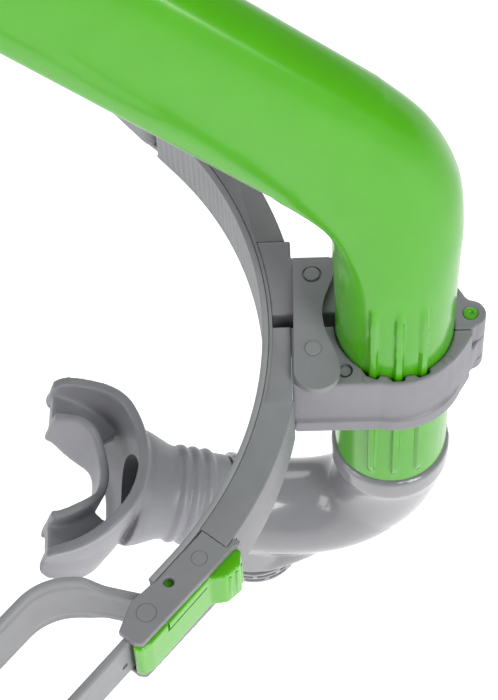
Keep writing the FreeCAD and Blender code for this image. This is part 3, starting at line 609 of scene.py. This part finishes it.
def tube_ring(station, count):
    """Evenly spaced points round one section, its two rear corners a little rounded."""
    x, z, tilt, chord, half, corner, power, bulge = station
    forward = Vector((cos(radians(tilt)), 0, sin(radians(tilt))))
    reach = chord / (1 + abs(cos(radians(corner))) ** (2 / power))
    middle = Vector((x, 0, z)) - forward * reach
    outline = []
    for i in range(OUTLINE_POINTS):
        a = radians(-corner + 2 * corner * i / (OUTLINE_POINTS - 1))
        u = reach * (1 if cos(a) >= 0 else -1) * abs(cos(a)) ** (2 / power)
        v = half * (1 if sin(a) >= 0 else -1) * abs(sin(a)) ** (2 / power)
        outline.append(middle + forward * u + Vector((0, v, 0)))
    base = (outline[0] + outline[-1]) / 2
    width = (outline[-1] - outline[0]).length / 2
    for i in range(1, REAR_POINTS):
        a = pi / 2 - pi * i / REAR_POINTS
        outline.append(base - forward * (bulge * cos(a)) + Vector((0, width * sin(a), 0)))
    outline.append(outline[0])
    lengths = [0.0]
    for a, b in zip(outline, outline[1:]):
        lengths.append(lengths[-1] + (b - a).length)
    ring = []
    j = 0
    for i in range(count):
        wanted = lengths[-1] * i / count
        while lengths[j + 1] < wanted:
            j += 1
        t = (wanted - lengths[j]) / (lengths[j + 1] - lengths[j])
        ring.append(outline[j] + (outline[j + 1] - outline[j]) * t)
    if corner > 91.0:
        for _ in range(REAR_EASING):
            ring = [(ring[i - 1] + ring[i] * 2 + ring[(i + 1) % count]) / 4
                    for i in range(count)]
    return ring


def rib_height(p):
    """How far a rib stands out of the round part at this point."""
    ahead = atan2(p.x - TUBE_X, abs(p.y))
    tip = min(eased(RIB_TOP - p.z, 0.0, 6.0), eased(p.z - RIB_FOOT, 0.0, 5.0))
    height = 0.0
    for angle in RIB_ANGLES:
        off = abs(ahead - radians(angle)) * TUBE_R
        side = 1 - eased(off, 0.35 + 0.25 * tip, 0.75 + 0.35 * tip)
        height = max(height, RIB_HEIGHT * tip * side)
    return height


AROUND = 288
tube_rows = tube_stations()
tube_rings = []
round_ring = tube_ring(tube_rows[0], AROUND)
for z, r in ((TUBE_FOOT, 11.9), (TUBE_FOOT + 0.6, SPIGOT_R), (-42.0, SPIGOT_R),
             (STEP_Z - 0.15, SPIGOT_R), (STEP_Z, SPIGOT_R + 0.1),
             (STEP_Z + 0.05, TUBE_R - 0.2), (STEP_Z + 0.25, TUBE_R)):
    tube_rings.append([Vector((TUBE_X + (p.x - TUBE_X) * r / TUBE_R, p.y * r / TUBE_R, z))
                       for p in round_ring])
heights = [STEP_Z + 0.7 + 1.1 * i for i in range(6)] + [-30.0, -24.0, -12.0, 0.0, 9.0]
heights += [ROUND_TOP - 6.0 + 1.2 * i for i in range(5)]
for z in heights:
    tube_rings.append([Vector((p.x, p.y, z)) for p in round_ring])
for first, step, count in ((0.0, 0.062, 16), (1.0, 0.11, 9), (2.0, 0.1, 30), (5.0, 0.1, 21)):
    tube_rings += [tube_ring(between(tube_rows, first + step * i), AROUND) for i in range(count)]
for ring in tube_rings:
    for i, p in enumerate(ring):
        if RIB_FOOT < p.z < RIB_TOP and p.x < TUBE_X + TUBE_R + 2:
            out = Vector((p.x - TUBE_X, p.y, 0)).normalized()
            ring[i] = p + out * rib_height(p)


def tube_place(across, along):
    ring = tube_rings[round(along * (len(tube_rings) - 1))]
    return ring[round(across * AROUND) % AROUND]


main_tube = shaped_grid("green_tube", AROUND, len(tube_rings) - 1, tube_place)
apply(main_tube, "SOLIDIFY", thickness=TUBE_WALL * MM, offset=-1.0)
hand_over(main_tube, "breathing_tube", "tube_green", tube_plastic, "main_tube", angle=40.0)

# ---- elbow -----------------------------------------------------------------------------
# A glossy grey moulding pushed over the tube's foot. It turns the airway towards the mouth
# and widens below into a sump for water; a thin black ring seals it to the tube.
ELBOW_R = 13.9
ELBOW_WAIST_R = 11.45
ELBOW_END_R = 12.3
ELBOW_WALL = 1.9
ELBOW_ROUTE = (Vector((29.0, 0, -44.5)), Vector((29.0, 0, -46.0)),
               Vector((30.5, 0, -83.2)), Vector((-12.1, 0, -67.7)))
CUFF_SHARE = 0.1         # share of the line that runs straight down through the cuff
MOUTH_RISE = radians(20.0)
SUMP_X = -4.4
SUMP_R = 11.4
SUMP_WALL = 1.6
SUMP_TOP = -72.0
VALVE_Z = -85.6
CUFF_TOP = -38.0
CUFF_GAP = 0.03          # between the cuff's inside and the tube's foot
SPIGOT_BORE_R = 7.4
SPIGOT_PROFILE = [(-2.0, 8.9), (11.4, 8.9), (12.0, 8.4), (12.0, 7.5), (-2.0, 7.5)]
KEEL_ROUTE = (Vector((15.0, 0, -70.5)), Vector((7.0, 0, -81.5)),
              Vector((SUMP_X, 0, VALVE_Z + 0.4)))
KEEL_TOP_R = 9.6
MOUTH_AXIS = Vector((-cos(MOUTH_RISE), 0, sin(MOUTH_RISE)))
MOUTH_UP = Vector((sin(MOUTH_RISE), 0, cos(MOUTH_RISE)))
elbow_plastic = moulded("elbow plastic", (0.235, 0.236, 0.25), 0.2,
                        grain=1.2, depth=0.004, mottle=0.03, coat=0.5)


def elbow_line(along):
    """Middle point, direction of travel and radius along the elbow, from the cuff down."""
    a, b, c, d = ELBOW_ROUTE
    if along <= CUFF_SHARE:
        z = CUFF_TOP + (a.z - CUFF_TOP) * along / CUFF_SHARE
        return Vector((TUBE_X, 0, z)), Vector((0, 0, -1)), ELBOW_R
    t = (along - CUFF_SHARE) / (1 - CUFF_SHARE)
    u = 1 - t
    middle = a * u ** 3 + b * 3 * t * u ** 2 + c * 3 * t ** 2 * u + d * t ** 3
    heading = ((b - a) * u ** 2 + (c - b) * 2 * u * t + (d - c) * t ** 2).normalized()
    if t < 0.5:
        return middle, heading, ELBOW_R + (ELBOW_WAIST_R - ELBOW_R) * t / 0.5
    return middle, heading, ELBOW_WAIST_R + (ELBOW_END_R - ELBOW_WAIST_R) * (t - 0.5) / 0.5


def pipe(name, line, rows=80):
    """Closed round pipe along a line function."""
    def place(across, along):
        middle, heading, r = line(along)
        side = Vector((0, 1, 0))
        up = heading.cross(side)
        a = across * 2 * pi
        return middle + (side * cos(a) + up * sin(a)) * r
    return shaped_grid(name, 64, rows, place, close_ends=True)


def keel_place(across, along):
    """Fairing between the bend and the sump, as level discs that shrink and move back."""
    a, b, c = KEEL_ROUTE
    middle = a * (1 - along) ** 2 + b * 2 * along * (1 - along) + c * along ** 2
    r = KEEL_TOP_R + (SUMP_R - KEEL_TOP_R) * along
    turn = across * 2 * pi
    return middle + Vector((cos(turn), sin(turn), 0)) * r


def airway_line(along):
    """The elbow's inside, narrowing towards the bore of the spigot."""
    middle, heading, r = elbow_line(along)
    return middle, heading, min(r - ELBOW_WALL, SPIGOT_BORE_R + 16.0 * (1 - along))


elbow = pipe("elbow_body", elbow_line)
keel = shaped_grid("keel", 64, 30, keel_place, close_ends=True)
sump = disc(SUMP_R, VALVE_Z, SUMP_TOP, SUMP_X, 0.0, 64)
fused([elbow, keel, sump], 0.55, 14)
cut(elbow, pipe("airway", airway_line))
cut(elbow, disc(SPIGOT_R + CUFF_GAP, TUBE_FOOT - 0.2, CUFF_TOP + 3, TUBE_X, 0, 96))
cut(elbow, disc(SUMP_R - SUMP_WALL, VALVE_Z - 2, SUMP_TOP - 2, SUMP_X, 0, 64))
end_middle = elbow_line(1.0)[0]


def mouth_point(t, y, h):
    """Point in the mouthpiece's own terms: t along its axis, y sideways, h upwards."""
    return end_middle + MOUTH_AXIS * t + Vector((0, y, 0)) + MOUTH_UP * h


def turned(name, profile):
    """Body of revolution round the mouth axis; profile has (t, radius) points, closed round."""
    points = profile + [profile[0]]

    def place(across, along):
        t, r = points[round(along * (len(points) - 1))]
        a = across * 2 * pi
        return mouth_point(t, r * cos(a), r * sin(a))
    return shaped_grid(name, 96, len(points) - 1, place)


def bore_line(along):
    """Straight bore along the mouth axis, from inside the elbow to the spigot's end."""
    return mouth_point(-8 + 20 * along, 0, 0), MOUTH_AXIS, SPIGOT_BORE_R


spigot = turned("spigot", SPIGOT_PROFILE)
cut(elbow, pipe("bore", bore_line, rows=4))
cut(elbow, spigot, "UNION")
hand_over(elbow, "breathing_tube", "elbow_grey", elbow_plastic, "elbow", angle=45.0)

seal_rubber = moulded("seal rubber", (0.02, 0.02, 0.02), 0.55, grain=0.2, depth=0.005)
seal_ring = from_frame("elbow_seal_ring", "seal_ring")
hand_over(seal_ring, "breathing_tube", "seal_black", seal_rubber, "elbow_seal_ring")

# ---- purge valve -----------------------------------------------------------------------
# Water leaves through the sump: a moulded seat with four windows, a clear silicone flap on
# a stem that lifts off it, and a grey slotted cover clipped under the sump.
flap_silicone = moulded("flap silicone", (0.72, 0.73, 0.75), 0.35, grain=0.3, depth=0.006)
valve_seat = from_frame("purge_valve_seat", "valve_seat")
hand_over(valve_seat, "breathing_tube", "elbow_grey", elbow_plastic, "purge_valve_seat")
valve_flap = from_frame("purge_valve_membrane", "valve_flap")
soften(valve_flap, 0.1)
hand_over(valve_flap, "purge_flap", "valve_clear", flap_silicone, "purge_valve_membrane")
valve_cover = from_frame("purge_valve_cover", "valve_cover")
soften(valve_cover, 0.15)
hand_over(valve_cover, "breathing_tube", "elbow_grey", elbow_plastic, "purge_valve_cover")

# ---- mouthpiece ------------------------------------------------------------------------
# Soft grey silicone, pushed over the elbow's spigot: a ridged neck, a flare, a curved lip
# shield with a thick rim, and two bite lugs on a low wall that crosses in front of the bore.
NECK_R = 11.3
SHIELD_R = 23.7
SHIELD_MIDDLE = 44.2
SHIELD_WALL = 2.2
SHIELD_HALF = 15.2       # half height in the middle; it loses SHIELD_FALL towards the sides
SHIELD_FALL = 8.6
SHIELD_TIP = 78.0        # angle where the rounded end begins, and the angle it takes up
SHIELD_TIP_SPAN = 14.5
BEAD = 0.55
RIDGES = (5.0, 8.1, 11.2)
WALL_R = (12.5, 14.8)
WALL_REACH = 88.0
WALL_HALF = 4.6          # half height in the middle; the sides stand WALL_SWELL higher
WALL_SWELL = 3.9
LUG_R = 12.6
LUG_DEPTH = 9.6
LUG_HALF = 1.9
LUG_START = 38.0
LUG_SPAN = 50.0
NECK_BORE = [(-2.0, 0.001), (-2.0, 8.95), (13.0, 8.95), (27.0, 7.6), (27.0, 0.001)]
mouth_silicone = moulded("mouth silicone", (0.268, 0.268, 0.293), 0.4,
                         grain=0.5, depth=0.008, soft=0.1)

neck = [(0.1, 9.0), (0.1, 11.2), (0.5, NECK_R)]
for at in RIDGES:
    neck += [(at - 0.3, NECK_R), (at, NECK_R + 0.7), (at + 0.8, NECK_R + 0.95),
             (at + 1.6, NECK_R + 0.7), (at + 1.9, NECK_R)]
neck += [(15.5, 11.8), (18.0, 12.9), (20.5, 14.0), (23.0, 14.6), (23.0, 8.0), (13.0, 9.0)]
mouthpiece = turned("mouth_grip", neck)


def shield_height(turn):
    """Half height of the lip shield at an angle from its middle."""
    tip = max(abs(turn) - radians(SHIELD_TIP), 0.0) / radians(SHIELD_TIP_SPAN)
    fall = SHIELD_FALL * eased(abs(turn), radians(35.0), radians(90.0))
    return (SHIELD_HALF - fall) * sqrt(1 - tip ** 2)


def shield_place(across, along):
    """Skin of the curved shield, its rim a bead and its edges leaning towards the lips."""
    turn = radians(90.0) * (2 * along - 1)
    depth, height = rounded_bar(across, SHIELD_WALL, 1.0, 0.45)
    half = shield_height(turn)
    bead = BEAD * eased(abs(height), 0.75, 0.98)
    r = SHIELD_R - depth + (bead if depth < SHIELD_WALL / 2 else -bead)
    lean = 2.4 * (abs(height) ** 2.5) * cos(turn)
    sideways = r * sin(turn) * (1 + 0.03 * abs(height))
    return mouth_point(SHIELD_MIDDLE - r * cos(turn) + lean, sideways, height * half)


shield = shaped_grid("shield", 60, 150, shield_place, close_ends=True)


def band(name, inner, outer, half_height, reach):
    """Curved block parallel to the shield, out to an angle on both sides."""
    def place(across, along):
        turn = radians(reach) * (2 * along - 1)
        depth, height = rounded_bar(across, outer - inner, half_height(turn), 0.6)
        r = inner + depth
        return mouth_point(SHIELD_MIDDLE - r * cos(turn), r * sin(turn), height)
    return shaped_grid(name, 48, 90, place, close_ends=True)


def wall_height(turn):
    """Half height of the bite wall: low in the middle, highest on both sides, low at the ends."""
    swell = eased(abs(turn), radians(12.0), radians(52.0))
    swell *= 1 - 0.75 * eased(abs(turn), radians(58.0), radians(88.0))
    return WALL_HALF + WALL_SWELL * swell


wall = band("wall", *WALL_R, wall_height, WALL_REACH)
lugs = []
for side in (-1, 1):
    def lug_place(across, along, side=side):
        turn = radians(LUG_START + LUG_SPAN * along)
        depth, height = rounded_bar(across, LUG_DEPTH, LUG_HALF, 0.9)
        r = LUG_R + depth
        return mouth_point(SHIELD_MIDDLE - r * cos(turn), side * r * sin(turn), height)
    lugs.append(shaped_grid("lug", 48, 40, lug_place, close_ends=True))
mouthpiece = fused([mouthpiece, shield, wall] + lugs, 0.45, 9)
cut(mouthpiece, turned("neck_bore", NECK_BORE))
hand_over(mouthpiece, "breathing_tube", "mouth_grey", mouth_silicone, "mouthpiece", angle=50.0)

# ---- studio ----------------------------------------------------------------------------
# A plain pale floor well below the object, a bright even room and large soft lights whose
# reflections run along the tube and the elbow.
floor_paint = bpy.data.materials.new("floor paint")
floor_paint.use_nodes = True
floor_shader = floor_paint.node_tree.nodes["Principled BSDF"]
floor_shader.inputs["Base Color"].default_value = (0.93, 0.93, 0.93, 1.0)
floor_shader.inputs["Roughness"].default_value = 0.9
floor_shader.inputs["Emission Color"].default_value = (1.0, 1.0, 1.0, 1.0)
floor_shader.inputs["Emission Strength"].default_value = 0.55
bpy.ops.object.select_all(action="DESELECT")
bpy.ops.mesh.primitive_plane_add(size=12.0, location=(0, 0, -0.3))
floor = bpy.context.object
floor.name = "floor"
floor.data.materials.append(floor_paint)
floor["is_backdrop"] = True

room = bpy.data.worlds.new("room")
room.use_nodes = True
room.node_tree.nodes["Background"].inputs["Color"].default_value = (1.0, 1.0, 1.0, 1.0)
room.node_tree.nodes["Background"].inputs["Strength"].default_value = 0.25
scene = bpy.context.scene
scene.world = room
scene.view_settings.view_transform = "Standard"


def soft_light(name, place, target, size, power):
    """Rectangular area light, in metres, turned towards a target."""
    lamp = bpy.data.lights.new(name, "AREA")
    lamp.shape = "RECTANGLE"
    lamp.size, lamp.size_y = size
    lamp.energy = power
    holder = bpy.data.objects.new(name, lamp)
    scene.collection.objects.link(holder)
    holder.location = place
    holder.rotation_euler = (Vector(target) - Vector(place)).to_track_quat("-Z", "Y").to_euler()


soft_light("key", (0.5, -0.6, 0.55), (0, 0, 0), (0.3, 0.9), 7.0)
soft_light("side", (-0.8, -0.5, 0.5), (0, 0, 0), (0.6, 0.6), 4.0)
soft_light("back", (0.1, 0.9, 0.7), (0, 0, 0), (0.9, 0.4), 3.0)

# ---- camera ----------------------------------------------------------------------------
# A long lens looks down over the wearer's right shoulder.
AZIMUTH, ELEVATION, ROLL = radians(-1.9), radians(57.0), radians(-3.2)
EYE = (0.0064, -0.2860, 0.4405)
look = Vector((sin(AZIMUTH) * cos(ELEVATION), cos(AZIMUTH) * cos(ELEVATION), -sin(ELEVATION)))
level = Vector((cos(AZIMUTH), -sin(AZIMUTH), 0))
above = level.cross(look)
right = level * cos(ROLL) + above * sin(ROLL)
up = above * cos(ROLL) - level * sin(ROLL)
lens = bpy.data.cameras.new("camera")
lens.lens = 121.7
lens.sensor_width = 36.0
lens.clip_start = 0.02
camera = bpy.data.objects.new("camera", lens)
scene.collection.objects.link(camera)
turned_to = Matrix((right, up, -look)).transposed().to_4x4()
camera.matrix_world = Matrix.Translation(EYE) @ turned_to
scene.camera = camera

low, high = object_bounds()
